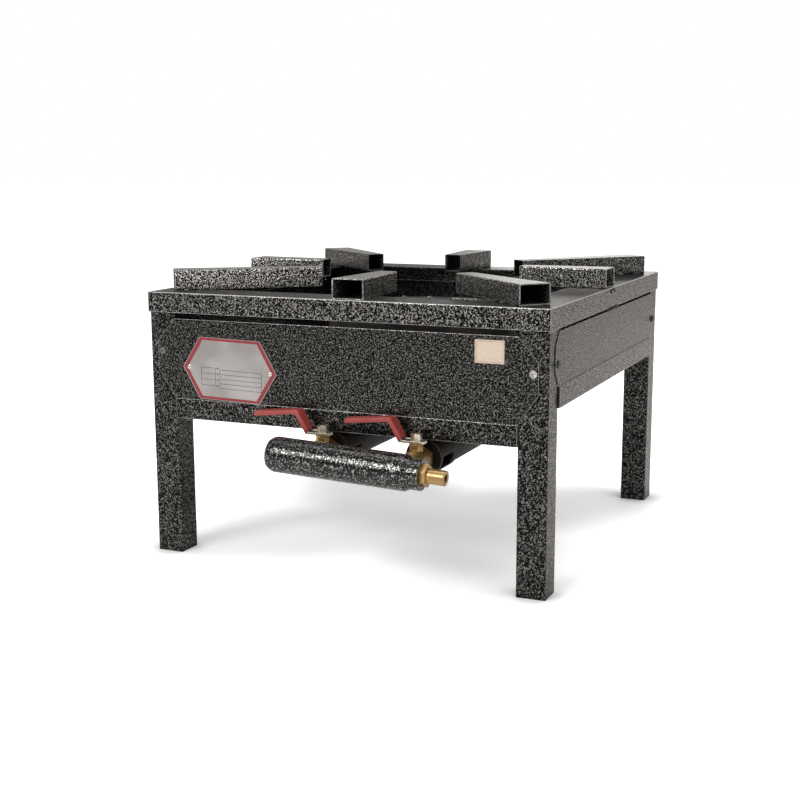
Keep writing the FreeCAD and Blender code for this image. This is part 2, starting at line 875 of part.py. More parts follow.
# Manifold: a capped pipe that feeds both valves, with a threaded inlet on the right
def hang(body):
    """Place a manifold piece about the point midway between the valves, tilted as welded."""
    place(body, in_stove(VALVE_MIDDLE, MANIFOLD_Y, GAS_Z), SIZES["manifold_tilt"], Vector(0, 1, 0))


def make_manifold():
    bore = "(manifold_radius - manifold_wall)"
    pipe = new_body("manifold_pipe")
    outline = [
        ("-manifold_left", bore),
        ("-manifold_left", "manifold_radius"),
        ("manifold_right - pipe_taper", "manifold_radius"),
        ("manifold_right", "manifold_radius - pipe_step"),
        ("manifold_right", bore),
    ]
    turned(pipe, "XZ_Plane", outline, "H_Axis")
    drill = "(spigot_radius + bell_gap)"
    along = f"({VALVE_SPAN} * cos(manifold_tilt))"
    across = f"({VALVE_SPAN} * sin(manifold_tilt))"
    holes = [(f"-{along}", f"-{across}", drill), (along, across, drill)]
    depth = "(manifold_radius + overrun)"
    pocket(pipe, "XZ_Plane", depth, f"-{depth}", circles=holes, reverse=True)
    hang(pipe)
    keep(pipe, "manifold_pipe")

    cap = new_body("manifold_end_cap")
    outline = [
        ("-manifold_left - cap_length", "0"),
        ("-manifold_left - cap_length", "manifold_radius"),
        ("-manifold_left", "manifold_radius"),
        ("-manifold_left", bore),
        ("-manifold_left - cap_length + manifold_wall", bore),
        ("-manifold_left - cap_length + manifold_wall", "0"),
    ]
    turned(cap, "XZ_Plane", outline, "H_Axis")
    far_left = -SIZES["manifold_left"] - SIZES["cap_length"]
    round_edges(
        cap,
        lambda edge: abs(edge.BoundBox.XMax - far_left) < SIZES["bell_gap"]
        and edge.BoundBox.ZLength > SIZES["manifold_radius"],
        "cap_round",
    )
    hang(cap)
    keep(cap, "manifold_end_cap")

    socket = new_body("manifold_socket")
    outline = [
        ("manifold_right - manifold_wall", "socket_bore"),
        ("manifold_right - manifold_wall", f"{bore} - bell_gap"),
        ("manifold_right", f"{bore} - bell_gap"),
        ("manifold_right", "manifold_radius - pipe_step"),
        ("manifold_right + manifold_wall / 2", "socket_radius"),
        ("manifold_right + socket_length", "socket_radius"),
        ("manifold_right + socket_length", "socket_bore"),
    ]
    turned(socket, "XZ_Plane", outline, "H_Axis")
    hang(socket)
    keep(socket, "manifold_socket")

    nipple = new_body("inlet_nipple")
    start = "(manifold_right + socket_length)"
    pad(nipple, "YZ_Plane", hexagon("nipple_flats"), "nipple_hex", start)
    tail = [("0", "0", "nipple_radius")]
    pad(nipple, "YZ_Plane", [], "nipple_tail", f"{start} + nipple_hex", circles=tail)
    shank = [("0", "0", "socket_bore - bell_gap")]
    pad(nipple, "YZ_Plane", [], "socket_length", start, circles=shank, reverse=True)
    hollow = "socket_length + nipple_hex + nipple_tail + 2 * overrun"
    pocket(
        nipple,
        "YZ_Plane",
        hollow,
        f"{start} - socket_length - overrun",
        circles=[("0", "0", "nipple_bore")],
        reverse=True,
    )
    hang(nipple)
    keep(nipple, "inlet_nipple")


# Ball valves: turned bodies with a ball, two seats, a stem and a lever
def make_valve_body(side, x):
    body = new_body(f"valve_body_{side}")
    cavity = "(ball_radius + ball_gap)"
    front = "-valve_front - spigot_wall - manifold_wall"
    outline = [
        (front, "ball_bore"),
        (front, "spigot_radius"),
        ("-valve_front", "spigot_radius"),
        ("-valve_front", f"valve_radius * {VALVE_NOSE_SHARE}"),
        ("-ball_radius", "valve_radius"),
        ("valve_back", "valve_radius"),
        ("valve_back", cavity),
        ("-seat_depth", cavity),
        ("-seat_depth", "ball_bore"),
    ]
    turned(body, "YZ_Plane", outline, "H_Axis")
    pad(body, "XY_Plane", [], "boss_height", circles=[("0", "0", "boss_radius")])
    mouth = "valve_back + overrun"
    inside = [("-seat_depth", "0"), ("-seat_depth", cavity), (mouth, cavity), (mouth, "0")]
    groove(body, "YZ_Plane", inside, "H_Axis")
    bore = [("0", "0", "stem_radius + stem_gap")]
    pocket(body, "XY_Plane", "boss_height + overrun", circles=bore, reverse=True)
    place(body, in_stove(x, STEM_Y, GAS_Z))
    keep(body, f"valve_body_{side}")


def make_valve_end(side, x):
    body = new_body(f"valve_end_{side}")
    pad(body, "XZ_Plane", hexagon("end_flats"), "end_hex", "-valve_back - end_hex")
    tail = [("0", "0", "end_tail_radius")]
    pad(body, "XZ_Plane", [], "end_tail", "-valve_back - end_hex - end_tail", circles=tail)
    plug = [("0", "0", "ball_radius")]
    pad(body, "XZ_Plane", [], "valve_back - seat_depth", "-valve_back", circles=plug)
    bore = [("0", "0", "injector_radius + bell_gap")]
    length = "valve_back - seat_depth + end_hex + end_tail + 2 * overrun"
    pocket(body, "XZ_Plane", length, "-seat_depth + overrun", circles=bore)
    place(body, in_stove(x, STEM_Y, GAS_Z))
    return body


def make_seat(side, x, sign):
    ring = new_body(f"seat_ring_{side}_{sign}")
    near = f"{sign} * (seat_depth - seat_thickness)"
    far = f"{sign} * seat_depth"
    outline = [(near, "ball_bore"), (near, "ball_radius"), (far, "ball_radius"), (far, "ball_bore")]
    turned(ring, "YZ_Plane", outline, "H_Axis")
    place(ring, in_stove(x, STEM_Y, GAS_Z))
    hollow = doc.addObject("Part::Sphere", f"seat_hollow_{side}_{sign}")
    bind(hollow, "Radius", "ball_radius + seat_gap")
    place(hollow, in_stove(x, STEM_Y, GAS_Z))
    return solid_cut(f"seat_{side}_{sign}", ring, hollow)


def make_gland(side, x):
    body = new_body(f"gland_{side}")
    bore = [("0", "0", "stem_radius + stem_gap")]
    pad(body, "XY_Plane", hexagon("gland_flats"), "gland_height", holes=bore)
    place(body, in_stove(x, STEM_Y, f"{GAS_Z} + boss_height"))
    return body


def make_ball(side, x):
    ball = doc.addObject("Part::Sphere", f"ball_{side}_sphere")
    bind(ball, "Radius", "ball_radius")
    place(ball, in_stove(x, STEM_Y, GAS_Z))
    bore = solid_cylinder(
        f"ball_{side}_bore",
        "ball_bore",
        "2 * ball_radius + 2 * overrun",
        in_stove(f"{x} - ball_radius - overrun", STEM_Y, GAS_Z),
        90,
        Vector(0, 1, 0),
    )
    slot = solid_box(
        f"ball_{side}_slot",
        "2 * ball_radius",
        "tang_width + 2 * stem_gap",
        "tang_height + stem_gap",
        in_stove(
            f"{x} - ball_radius",
            f"{STEM_Y} - tang_width / 2 - stem_gap",
            f"{GAS_Z} + ball_radius - tang_height - stem_gap",
        ),
    )
    keep(solid_cut(f"ball_{side}", ball, solid_fuse(f"ball_{side}_tools", [bore, slot])), f"ball_{side}")


def make_stem(side, x):
    body = new_body(f"stem_{side}")
    shoulder = f"({LEVER_Z})"
    spindle = [
        ("0", "ball_radius + stem_gap"),
        ("stem_radius", "ball_radius + stem_gap"),
        ("stem_radius", shoulder),
        ("stem_thread", shoulder),
        ("stem_thread", "stem_top"),
        ("0", "stem_top"),
    ]
    turned(body, "XZ_Plane", spindle, "V_Axis")
    thick = "(tang_width / 2)"
    wide = "(stem_radius * cos(30 deg))"
    tang = [(f"-{wide}", f"-{thick}"), (wide, f"-{thick}"), (wide, thick), (f"-{wide}", thick)]
    pad(body, "XY_Plane", tang, "tang_height + stem_gap", "ball_radius - tang_height")
    place(body, in_stove(x, STEM_Y, GAS_Z))
    keep(body, f"stem_{side}")


def lever_path(skin, start):
    """Side outline of the folded lever, thickened by a skin, from a start towards the tip."""
    bend = f"((lever_sheet + 2 * {skin}) * tan(atan(lever_lift / lever_riser) / 2) / 2)"
    low = f"(-{skin})"
    high = f"(lever_sheet + {skin})"
    top = "-lever_flat - lever_riser"
    tip = f"(-lever_reach - {skin})"
    under = [
        (f"-lever_flat - {bend}", low),
        (f"{top} - {bend}", f"{low} + lever_lift"),
        (tip, f"{low} + lever_lift - lever_droop"),
    ]
    over = [
        (tip, f"{high} + lever_lift - lever_droop"),
        (f"{top} + {bend}", f"{high} + lever_lift"),
        (f"-lever_flat + {bend}", high),
    ]
    return [(start, low)] + under + over + [(start, high)]


def make_lever(side, x):
    body = new_body(f"lever_{side}")
    half = "(lever_width / 2)"
    pad(body, "XZ_Plane", lever_path("0", "lever_heel"), "lever_width", f"-{half}")
    bore = [("0", "0", "stem_thread + stem_gap")]
    pocket(body, "XY_Plane", "lever_sheet + 2 * overrun", "-overrun", circles=bore, reverse=True)
    round_edges(
        body,
        lambda edge: edge.Curve.TypeId == "Part::GeomLine"
        and edge.BoundBox.YLength < SIZES["stem_gap"]
        and edge.BoundBox.XLength < SIZES["lever_sheet"]
        and edge.BoundBox.XMax > 0
        and edge.BoundBox.ZLength > SIZES["lever_sheet"] / 2,
        f"lever_width * {HEEL_ROUND_SHARE}",
    )
    place(body, in_stove(x, STEM_Y, f"{GAS_Z} + {LEVER_Z}"))
    keep(body, f"lever_{side}")


def make_grip(side, x):
    sleeve = new_body(f"grip_{side}_sleeve")
    half = "(lever_width / 2 + grip_skin)"
    pad(sleeve, "XZ_Plane", grip_path("grip_skin"), f"2 * {half}", f"-{half}")
    bend_x = -SIZES["lever_flat"] - SIZES["lever_riser"]
    tip_x = -SIZES["lever_reach"]
    round_edges(
        sleeve,
        lambda edge: edge.BoundBox.YLength > SIZES["lever_width"]
        and edge.BoundBox.ZMin > SIZES["lever_lift"] / 2
        and abs(edge.BoundBox.XMax - bend_x) < SIZES["lever_flat"] / 2,
        "grip_bend",
    )
    round_edges(
        sleeve,
        lambda edge: edge.BoundBox.YLength < SIZES["stem_gap"] and edge.BoundBox.XMax < tip_x,
        "grip_tip",
    )
    round_edges(
        sleeve,
        lambda edge: edge.BoundBox.YLength < SIZES["stem_gap"],
        f"grip_skin * {GRIP_ROUND_SHARE}",
    )
    place(sleeve, in_stove(x, STEM_Y, f"{GAS_Z} + {LEVER_Z}"))
    core = new_body(f"grip_{side}_core")
    pad(core, "XZ_Plane", lever_path("0", "lever_heel"), "lever_width", "-lever_width / 2")
    place(core, in_stove(x, STEM_Y, f"{GAS_Z} + {LEVER_Z}"))
    keep(solid_cut(f"lever_grip_{side}", sleeve, core), f"lever_grip_{side}")


def grip_path(skin):
    """Side outline of the sleeve over the riser and the arm of the lever."""
    points = lever_path(skin, "lever_heel")
    low_foot, low_bend, low_tip, high_tip, high_bend, high_foot = points[1:7]
    share = GRIP_FOOT_SHARE
    foot = []
    for bottom, top in ((low_foot, low_bend), (high_foot, high_bend)):
        blended = []
        for first, last in zip(bottom, top):
            blended.append(f"(({first}) * (1 - {share}) + ({last}) * {share})")
        foot.append(tuple(blended))
    return [foot[0], low_bend, low_tip, high_tip, high_bend, foot[1]]


def make_lever_nut(side, x):
    body = new_body(f"lever_nut_{side}")
    bore = [("0", "0", "stem_thread + stem_gap")]
    pad(body, "XY_Plane", hexagon("nut_flats"), "nut_height", holes=bore)
    place(body, in_stove(x, STEM_Y, f"{GAS_Z} + {LEVER_Z} + lever_sheet"))
    keep(body, f"lever_nut_{side}")


def make_gas_line():
    make_manifold()
    ends = []
    seats = []
    glands = []
    injectors = []
    for side, x in (("left", "-valve_left_x"), ("right", VALVE_RIGHT_X)):
        make_mixing_tube(side, x)
        make_air_bell(side, x)
        injectors.append(make_injector(side, x))
        make_valve_body(side, x)
        ends.append(make_valve_end(side, x))
        seats += [make_seat(side, x, sign) for sign in (-1, 1)]
        glands.append(make_gland(side, x))
        make_ball(side, x)
        make_stem(side, x)
        make_lever(side, x)
        make_grip(side, x)
        make_lever_nut(side, x)
    group("injectors", injectors)
    group("valve_end_pieces", ends)
    group("valve_seats", seats)
    group("gland_nuts", glands)


def check_and_write():
    doc.recompute()
    faults = [item.Name for item in doc.Objects if {"Invalid", "Error"} & set(item.State)]
    if faults:
        raise RuntimeError(f"failed objects: {faults}")
    for label, item in LABELS.items():
        if item.Shape.isNull() or not item.Shape.isValid() or not item.Shape.Solids:
            raise RuntimeError(f"{label} has no valid shape")
    os.makedirs("parts", exist_ok=True)
    for label, item in LABELS.items():
        item.Shape.exportStep(f"parts/{label}.step")


make_frame()
make_name_plate()
make_pot_bars()
make_burner_bar("front", -1)
make_burner_bar("back", 1)
make_ring_burner()
make_inner_burner()
make_gas_line()
check_and_write()
print(f"{len(LABELS)} sub-parts")
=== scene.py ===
"""Looks of a low gas stove with two burners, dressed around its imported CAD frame."""

import json
import math
import random

import bmesh
import bpy
from mathutils import Matrix, Vector


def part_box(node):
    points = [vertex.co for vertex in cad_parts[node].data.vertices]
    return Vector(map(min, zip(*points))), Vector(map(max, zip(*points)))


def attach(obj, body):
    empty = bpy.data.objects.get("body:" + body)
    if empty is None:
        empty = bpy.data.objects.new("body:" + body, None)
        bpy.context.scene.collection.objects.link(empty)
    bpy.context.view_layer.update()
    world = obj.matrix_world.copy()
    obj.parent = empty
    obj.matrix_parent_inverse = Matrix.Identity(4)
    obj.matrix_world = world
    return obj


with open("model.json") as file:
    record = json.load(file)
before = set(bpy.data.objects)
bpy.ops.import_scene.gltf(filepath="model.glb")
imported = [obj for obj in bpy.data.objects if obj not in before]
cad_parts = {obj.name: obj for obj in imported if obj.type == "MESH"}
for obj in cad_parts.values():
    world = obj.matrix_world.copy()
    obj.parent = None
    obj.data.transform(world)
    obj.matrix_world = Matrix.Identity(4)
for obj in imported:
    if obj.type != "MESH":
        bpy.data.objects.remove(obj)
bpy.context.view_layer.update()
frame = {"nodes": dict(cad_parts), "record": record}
nodes = frame["nodes"]

MM = 0.001
FRONT = Vector((0, -1, 0))
UP = Vector((0, 0, 1))
FRAME_MIDDLE = 38.7 * MM
SEED = 7

# Camera
CAMERA_PLACE = Vector((0.6474, -1.5109, 0.4716))
CAMERA_TURN = math.radians(23.666)
CAMERA_DIP = math.radians(10.423)
CAMERA_ROLL = math.radians(-0.192)
CAMERA_LENS = 58.61
CAMERA_SENSOR = 36

# Studio light
WORLD_LEVEL = 0.25
GLOSS_SHARE = 0.45
KEY_PLACE = Vector((-0.72, -1.95, 1.34))
KEY_SIZE = (0.95, 0.95)
KEY_POWER = 22
SIDE_PLACE = Vector((2.2, -1.6, 1.1))
SIDE_SIZE = (1.2, 1.2)
SIDE_POWER = 13
SIDE_TINT = (1.0, 0.97, 0.945)
FILL_PLACE = Vector((0.2, 0.2, 2.6))
FILL_SIZE = (2.4, 2.4)
FILL_POWER = 34
BACK_PLACE = Vector((-0.35, 2.6, 0.6))
BACK_SIZE = (0.95, 0.8)
BACK_POWER = 8
LIGHT_TARGET = Vector((0, 0, 0.2))

# Floor: white out to the horizon, with a painted shadow that dims it under the stove and towards its feet
# and darkens it round each foot
FLOOR_HALF = 30
FLOOR_COLOUR = 0.9
FLOOR_ROUGHNESS = 0.9
FLOOR_NEAR = 0.1
FLOOR_FAR = 0.32
FLOOR_CORNER_SHARE = 0.65
FLOOR_EDGE = (0.24, 0.31)
FLOOR_GLOW_NEAR = 0.35
FLOOR_GLOW_FAR = 1.0
FOOT_PAINTED_SHADOW_REACH = 60 * MM
FOOT_PAINTED_SHADOW_SPAN = (0.5, 0.98)
FOOT_PAINTED_SHADOW_SHARE = 0.3

# Hammered paint: its flakes and how their gleam varies, and its skin on upright and level faces
FLAKE = 1.55 * MM
CAP_FLAKE = 1.35 * MM
BAR_FLAKE = 1.25 * MM
PIPE_FLAKE = 2 * MM
FLAKE_SPAN = (0.5, 0.6)
CAP_FLAKE_SPAN = (0.52, 0.6)
PIPE_FLAKE_SPAN = (0.55, 0.63)
FLAKE_TINT = (1.0, 0.97, 0.91)
FLAKE_TWIST = 0.4
GLEAM_SHARE = 1.7
GLEAM_SPAN = (0.35, 0.65)
GLEAM_DIM_SHARE = 0.55
GLEAM_BRIGHT_SHARE = 1.75
GROUND = (0.002, 0.002, 0.002)
LEVEL_SPAN = (0.6, 0.95)
SHINE = (0.9, 0.4)
DULLNESS = (0.22, 0.35)
PAINT_SKIN = 0.3 * MM
PAINT_SKIN_SHARE = 0.7
PAINT_SPECULAR = 0.06
PAINT_SPECULAR_TINT = (1.0, 0.93, 0.86)
COAT_ROUGHNESS = 0.08

# Wear and painted highlight on edges and folds, and the leans that count as one
EDGE = 1.1 * MM
EDGE_LEAN = (0.995, 0.9)
FOLD_STEEP = (0.2, 0.45)
FOLD_LEVEL = (0.97, 0.85)
WORN_AND_HIGHLIGHT = (0.6, 0.59, 0.56)
SOOT_AND_SHADE_WEAR_SHARE = 0.1

# Soot and painted shade on faces turned to the flames above this height; painted shade towards the back of
# the bars and in hollows
SOOT_AND_SHADE = (0.004, 0.004, 0.004)
SOOT_AND_SHADE_LOW = 120 * MM
SOOT_AND_SHADE_HIGH = 200 * MM
SOOT_AND_SHADE_NEAR = -20 * MM
SOOT_AND_SHADE_FAR = -80 * MM
BACK_SHADE_NEAR = 70 * MM
BACK_SHADE_FAR = 130 * MM
CAVITY = 45 * MM
HOLLOW_SHADE_SPAN = (0.45, 0.28)

# Other finishes: the size of their patches, grain and lines, and how deep the grain and scratches are
PATCH_SPAN = (0.3, 0.7)
BLACK_PATCH = 30 * MM
BLACK_GRAIN = 1.5 * MM
BLACK_GRAIN_DEPTH = 0.08 * MM
BLACK_WEAR_AND_HIGHLIGHT_SPAN = (0.4, 0.6)
BLACK_WEAR_AND_HIGHLIGHT_SHARES = (0.1, 0.7)
IRON_PATCH = 25 * MM
IRON_SPAN = (0.4, 0.7)
IRON_GRAIN = 1.2 * MM
IRON_GRAIN_DEPTH = 0.35 * MM
METAL_PATCH = 9 * MM
METAL_SPAN = (0.35, 0.7)
METAL_LINE = 2 * MM
METAL_LINE_STRETCH = (1, 1, 9)
METAL_EDGE_SHARE = 0.6
SCRATCH = 0.03 * MM
CHROME_SCRATCH = 0.005 * MM
RIVET_SCRATCH = 0.02 * MM
PLASTIC_PATCH = 14 * MM
PLASTIC_GRAIN = 1 * MM
PLASTIC_GRAIN_DEPTH = 0.06 * MM
PLATE_PATCH = 40 * MM
PLATE_LINE = 1.2 * MM
PLATE_LINE_STRETCH = (0.06, 1, 1)
PLATE_LINE_DEPTH = 0.03 * MM
INK_PATCH = 5 * MM

# Screws: where the front ones lie, and how bare the left and right one are
SCREW_FRONT_LOW = 195 * MM
SCREW_FRONT_HIGH = 205 * MM
SCREW_REACH = 232 * MM
SCREW_BARE_SHARES = (0.25, 1.0)
SCREW_WEAR_AND_HIGHLIGHT_SHARE = 0.5
SCREW_METAL_SHARE = 0.9
SCREW_PATCH = 3 * MM
SCREW_SCRATCH = 0.05 * MM

# Name plate print
PLATE_LENGTH = 126 * MM
PLATE_FLAT = 81 * MM
PLATE_HEIGHT = 74 * MM
PLATE_TILT = math.radians(1.3)
PRINT_DEPTH = 0.06 * MM
BORDER_GAP_SHARE = 0.985
BORDER_SHARE = 0.9
RULE = 0.5 * MM
BULLET = 1.1 * MM
BULLET_SIDES = 12
LEFT_TABLE = (-38 * MM, -19 * MM)
LEFT_ROWS = (1 * MM, -6 * MM, -13 * MM, -20 * MM)
RIGHT_TABLE = (-13 * MM, 43 * MM)
RIGHT_ROWS = (-0.5 * MM, -6 * MM, -11.5 * MM, -17 * MM, -22.5 * MM)
BULLET_PLACE = -16 * MM
RIVET_PLACES = (-54.5 * MM, 54.5 * MM)
RIVET_EYE = 0.9 * MM
RIVET_EYE_LIFT = 0.5 * MM

# Blank sticker on the front panel
STICKER_LOW = Vector((165.5 * MM, 257.6 * MM))
STICKER_HIGH = Vector((199 * MM, 283 * MM))
STICKER_DEPTH = 0.15 * MM
STICKER_INSET = 1.3 * MM
STICKER_RULE = 0.5 * MM

# Weld beads: their ripples, and how much chance varies them
BEAD = 2.4 * MM
BEAD_PITCH = 3.2 * MM
BEAD_SIDES = 10
BEAD_STEP = 0.8 * MM
BEAD_LEAST_STEPS = 4
RIPPLE_SHARE = 0.2
TAPER_SHARE = 0.35
BEAD_SIZE_SHARES = (0.93, 1.07)
BEAD_DRIFT_SHARES = (-0.08, 0.08)
BAR_BEAD_SHARES = (0.85, 1.25)
FLANGE_BEAD_SHARES = (1.0, 1.4)
UPRIGHT = 0.9

# Weld places on the bars, rails, front flange and right slot
BAR_CORNER = 1.6 * MM
BAR_END_WEIGHT = 3
BAR_WELDS = ((8 * MM, 20 * MM), (30 * MM, 43 * MM))
RAIL_SHEET = 2 * MM
RAIL_BEAD = 2 * MM
RAIL_SIDES = {
    "lower_rail_front": (0, -1),
    "lower_rail_right": (1, 0),
    "lower_rail_back": (0, 1),
    "lower_rail_left": (-1, 0),
}
FLANGE_EDGE = -160.5 * MM
FLANGE_TOP = 319 * MM
FLANGE_BEADS = ((116 * MM, 152 * MM), (20 * MM, 27 * MM), (58 * MM, 64 * MM), (88 * MM, 96 * MM))
SLOT_WELD = (Vector((249.4 * MM, 24 * MM, 294 * MM)), Vector((249.4 * MM, 72 * MM, 294 * MM)))
DRIPS = (
    (Vector((249.9 * MM, 34 * MM, 318 * MM)), Vector((249.9 * MM, 36 * MM, 312 * MM))),
    (Vector((249.9 * MM, 44 * MM, 318 * MM)), Vector((249.9 * MM, 52 * MM, 313 * MM))),
)
DRIP = 1.3 * MM
STRAIGHT_BARS = {
    "pot_bar_front": (0, -1, 0),
    "pot_bar_back": (0, 1, 0),
    "pot_bar_left": (-1, 0, 0),
    "pot_bar_right": (1, 0, 0),
}


class Shader:
    """One material's node tree, with short ways to add and link its nodes."""

    def __init__(self, name):
        self.material = bpy.data.materials.new(name)
        self.material.use_nodes = True
        self.tree = self.material.node_tree
        self.surface = self.tree.nodes["Principled BSDF"]
        self.place = self.add("ShaderNodeTexCoord").outputs["Object"]

    def feed(self, node, socket, value):
        if isinstance(value, bpy.types.NodeSocket):
            self.tree.links.new(value, node.inputs[socket])
        else:
            node.inputs[socket].default_value = value

    def add(self, kind, inputs=None, **settings):
        node = self.tree.nodes.new(kind)
        for key, value in settings.items():
            setattr(node, key, value)
        for socket, value in (inputs or {}).items():
            self.feed(node, socket, value)
        return node

    def noise(self, size, detail=2.0, roughness=0.5, distortion=0.0, stretch=None):
        place = self.place
        if stretch:
            place = self.add("ShaderNodeMapping", {"Vector": place, "Scale": stretch}).outputs[0]
        inputs = {
            "Vector": place,
            "Scale": 1 / size,
            "Detail": detail,
            "Roughness": roughness,
            "Distortion": distortion,
        }
        return self.add("ShaderNodeTexNoise", inputs).outputs["Fac"]

    def spread(self, value, low, high, to_low=0.0, to_high=1.0):
        inputs = {
            "Value": value,
            "From Min": low,
            "From Max": high,
            "To Min": to_low,
            "To Max": to_high,
        }
        return self.add("ShaderNodeMapRange", inputs, interpolation_type="SMOOTHSTEP").outputs["Result"]

    def combine(self, operation, first, second):
        node = self.add("ShaderNodeMath", {0: first, 1: second}, operation=operation)
        return node.outputs["Value"]

    def mix(self, factor, first, second):
        node = self.add("ShaderNodeMix", data_type="RGBA")
        self.feed(node, 0, factor)
        for socket, colour in ((6, first), (7, second)):
            self.feed(node, socket, colour if not isinstance(colour, tuple) else (*colour, 1))
        return node.outputs[2]

    def soft_edges(self, radius):
        return self.add("ShaderNodeBevel", {"Radius": radius}, samples=6).outputs["Normal"]

    def edge_mask(self, soft):
        """1 on an edge and 0 on a flat: how far the softened normal leans from the true one."""
        true = self.add("ShaderNodeNewGeometry").outputs["Normal"]
        return self.spread(self.dot(soft, true), *EDGE_LEAN)

    def vector(self, operation, first, second):
        return self.add("ShaderNodeVectorMath", {0: first, 1: second}, operation=operation)

    def dot(self, first, second):
        return self.vector("DOT_PRODUCT", first, second).outputs["Value"]

    def facing(self, way):
        return self.dot(self.add("ShaderNodeNewGeometry").outputs["Normal"], tuple(way))

    def soot_and_shade(self):
        """1 on the faces that look in at the burners, where soot and painted shade darken the paint."""
        out = self.vector("SUBTRACT", self.place, (0, FRAME_MIDDLE, 0)).outputs[0]
        flat = self.vector("MULTIPLY", out, (1, 1, 0)).outputs[0]
        inward = self.dot(self.add("ShaderNodeNewGeometry").outputs["Normal"], flat)
        high = self.spread(self.dot(self.place, tuple(UP)), SOOT_AND_SHADE_LOW, SOOT_AND_SHADE_HIGH)
        return self.combine("MULTIPLY", high, self.spread(inward, SOOT_AND_SHADE_NEAR, SOOT_AND_SHADE_FAR))

    def bump(self, height, depth, strength=1.0, normal=None):
        inputs = {"Height": height, "Distance": depth, "Strength": strength}
        if normal:
            inputs["Normal"] = normal
        self.feed(self.surface, "Normal", self.add("ShaderNodeBump", inputs).outputs["Normal"])

    def finish(self, **sockets):
        for socket, value in sockets.items():
            if isinstance(value, tuple):
                value = (*value, 1)
            self.feed(self.surface, socket.replace("_", " "), value)
        return self.material


def hammered_paint(
    name,
    silver,
    level_painted_light,
    flake=FLAKE,
    span=FLAKE_SPAN,
    ground_share=0.2,
    wear_and_highlight=0.85,
    fold_wear_and_highlight=0.0,
    soot_and_shade_share=0.05,
    back_shade=0.0,
    hollow_shade=0.0,
    coat=0.0,
):
    """Black paint that has drawn its silver flakes into short worms, with a skin that follows them.

    It is smoother on level faces and painted paler there, darker on the cap, as painted light; it wears
    bright on edges and folds, partly a painted highlight, and gathers soot and painted shade on faces
    turned to the flames, with painted shade towards the back of the bars and in hollows.
    """
    s = Shader(name)
    silver, level_painted_light = [tuple(shade * tint for tint in FLAKE_TINT) for shade in (silver, level_painted_light)]
    cells = s.noise(flake, detail=0.0, distortion=FLAKE_TWIST)
    flakes = s.spread(cells, *span)
    lean = s.facing(UP)
    level = s.spread(lean, *LEVEL_SPAN)
    soft = s.soft_edges(EDGE)
    # Level faces take their own tone: painted light, paler than upright faces on most parts and darker on
    # the cap's top.
    ground = s.mix(level, GROUND, tuple(ground_share * shade for shade in level_painted_light))
    gleam = s.spread(s.noise(flake * GLEAM_SHARE), *GLEAM_SPAN)
    dim = tuple(GLEAM_DIM_SHARE * shade for shade in silver)
    bright = tuple(GLEAM_BRIGHT_SHARE * shade for shade in silver)
    colour = s.mix(flakes, ground, s.mix(level, s.mix(gleam, dim, bright), level_painted_light))
    # Darker on faces turned in at the burners above a height: soot and painted shade.
    soot_and_shade = s.soot_and_shade()
    colour = s.mix(s.combine("MULTIPLY", soot_and_shade, soot_and_shade_share), colour, SOOT_AND_SHADE)
    # Upright faces darker towards the back: painted shade.
    if back_shade:
        back = s.spread(s.dot(s.place, (0, 1, 0)), BACK_SHADE_NEAR, BACK_SHADE_FAR, 0.0, back_shade)
        colour = s.mix(s.combine("MULTIPLY", back, s.spread(level, 0, 1, 1, 0)), colour, SOOT_AND_SHADE)
    # Pale edges and folds: partly wear, partly painted highlight.
    edge_wear_and_highlight = s.combine("MULTIPLY", s.edge_mask(soft), s.spread(soot_and_shade, 0, 1, wear_and_highlight, SOOT_AND_SHADE_WEAR_SHARE * wear_and_highlight))
    if fold_wear_and_highlight:
        steep = s.spread(lean, *FOLD_STEEP)
        fold = s.combine("MULTIPLY", steep, s.spread(lean, *FOLD_LEVEL, 0.0, fold_wear_and_highlight))
        edge_wear_and_highlight = s.combine("MAXIMUM", edge_wear_and_highlight, fold)
    colour = s.mix(edge_wear_and_highlight, colour, WORN_AND_HIGHLIGHT)
    shine = s.combine("MULTIPLY", flakes, s.spread(level, 0, 1, *SHINE))
    dull = s.spread(level, 0, 1, *DULLNESS)
    # Darker where ambient occlusion finds a hollow: painted shade.
    if hollow_shade:
        open_share = s.add("ShaderNodeAmbientOcclusion", {"Distance": CAVITY}, samples=8).outputs["AO"]
        hollow_shade_mask = s.spread(open_share, *HOLLOW_SHADE_SPAN, 0.0, hollow_shade)
        colour = s.mix(hollow_shade_mask, colour, SOOT_AND_SHADE)
        shine = s.combine("MULTIPLY", shine, s.spread(hollow_shade_mask, 0, 1, 1, 0))
        dull = s.combine("MAXIMUM", dull, hollow_shade_mask)
    s.bump(cells, PAINT_SKIN, PAINT_SKIN_SHARE, soft)
    return s.finish(
        Base_Color=colour,
        Metallic=shine,
        Roughness=dull,
        Specular_IOR_Level=PAINT_SPECULAR,
        Specular_Tint=PAINT_SPECULAR_TINT,
        Coat_Weight=coat,
        Coat_Roughness=COAT_ROUGHNESS,
    )


